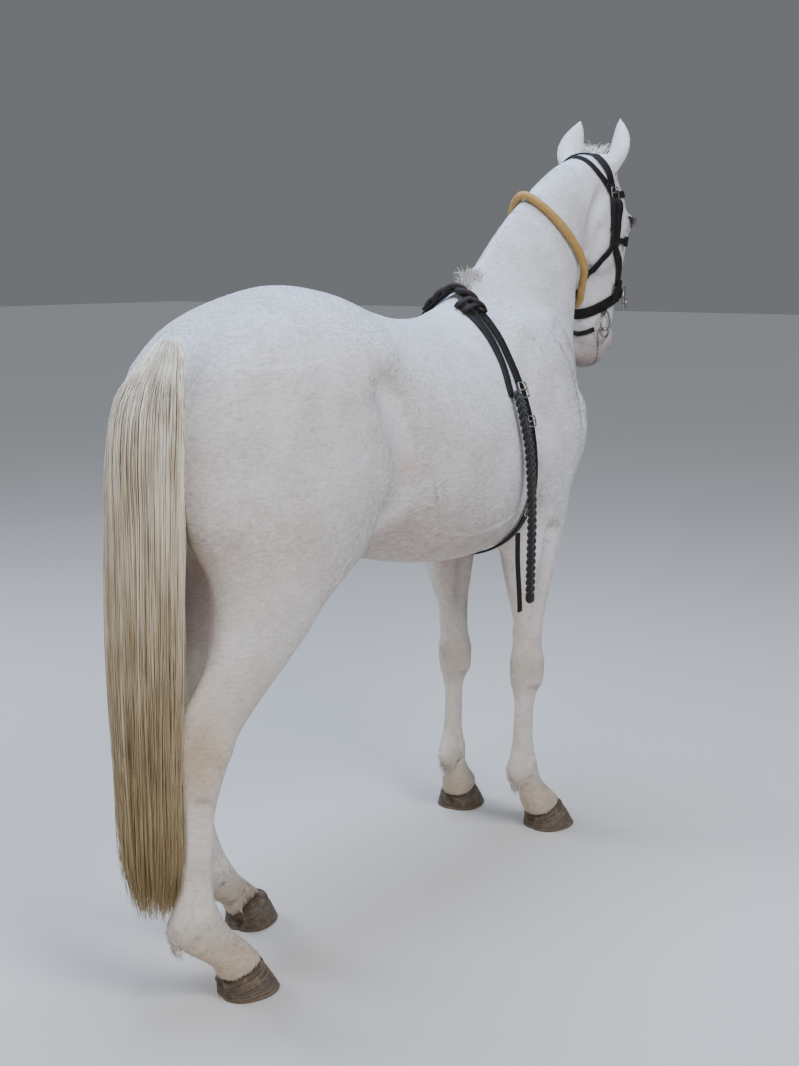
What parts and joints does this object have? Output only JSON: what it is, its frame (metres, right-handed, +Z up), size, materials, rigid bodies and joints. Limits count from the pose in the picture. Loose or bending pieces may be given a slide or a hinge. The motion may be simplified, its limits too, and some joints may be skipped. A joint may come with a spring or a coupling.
{
  "type": "horse",
  "caption": "Light horse standing at rest with its neck arched and its head hanging straight, in a bridle, a rounded neck collar and a surcingle with a plaited tail.",
  "frame": {"origin": "middle of the horse's box on the floor, the hanging plait left out", "axes": "+X towards the head, +Y to the horse's left, +Z up"},
  "size_m": [2.0637, 0.5942, 1.988],
  "materials": {
    "coat": "short white hair over pinkish grey skin",
    "tail_hair": "long cream hair, yellow brown towards its end",
    "hoof_horn": "grey brown horn",
    "eye": "wet and dark",
    "bridle_leather": "brown black, worn",
    "collar_leather": "yellow tan, rounded",
    "rope": "black plait",
    "steel": "tarnished"
  },
  "bodies": {
    "root": {"billet": "bridle_leather", "bit_ring_left": "steel", "bit_ring_right": "steel", "bridle_crown_back": "bridle_leather", "bridle_crown_front": "bridle_leather", "browband": "bridle_leather", "cheek_boss_left": "bridle_leather", "cheek_boss_right": "bridle_leather", "cheek_joint_left": "bridle_leather", "cheek_joint_right": "bridle_leather", "cheek_lower_left": "bridle_leather", "cheek_lower_right": "bridle_leather", "cheek_upper_left": "bridle_leather", "cheek_upper_right": "bridle_leather", "crown_buckle_left": "steel", "crown_buckle_right": "steel", "curb_strap": "bridle_leather", "ear_left": "coat", "ear_right": "coat", "eye_left": "eye", "eye_right": "eye", "fore_left_lower": "coat", "fore_left_upper": "coat", "fore_right_lower": "coat", "fore_right_upper": "coat", "forelock": "tail_hair", "girth_buckle_lower": "steel", "girth_buckle_middle": "steel", "girth_buckle_upper": "steel", "head": "coat", "hind_left_lower": "coat", "hind_left_upper": "coat", "hind_right_lower": "coat", "hind_right_upper": "coat", "hoof_fore_left": "hoof_horn", "hoof_fore_right": "hoof_horn", "hoof_hind_left": "hoof_horn", "hoof_hind_right": "hoof_horn", "knot_lower": "bridle_leather", "knot_upper": "bridle_leather", "mane_tuft": "tail_hair", "neck": "coat", "neck_collar": "collar_leather", "noseband": "bridle_leather", "noseband_ring": "steel", "plait": "rope", "strap_fall": "bridle_leather", "surcingle": "bridle_leather", "tail": "tail_hair", "throatlatch": "bridle_leather", "trunk": "coat"}
  },
  "joints": []
}
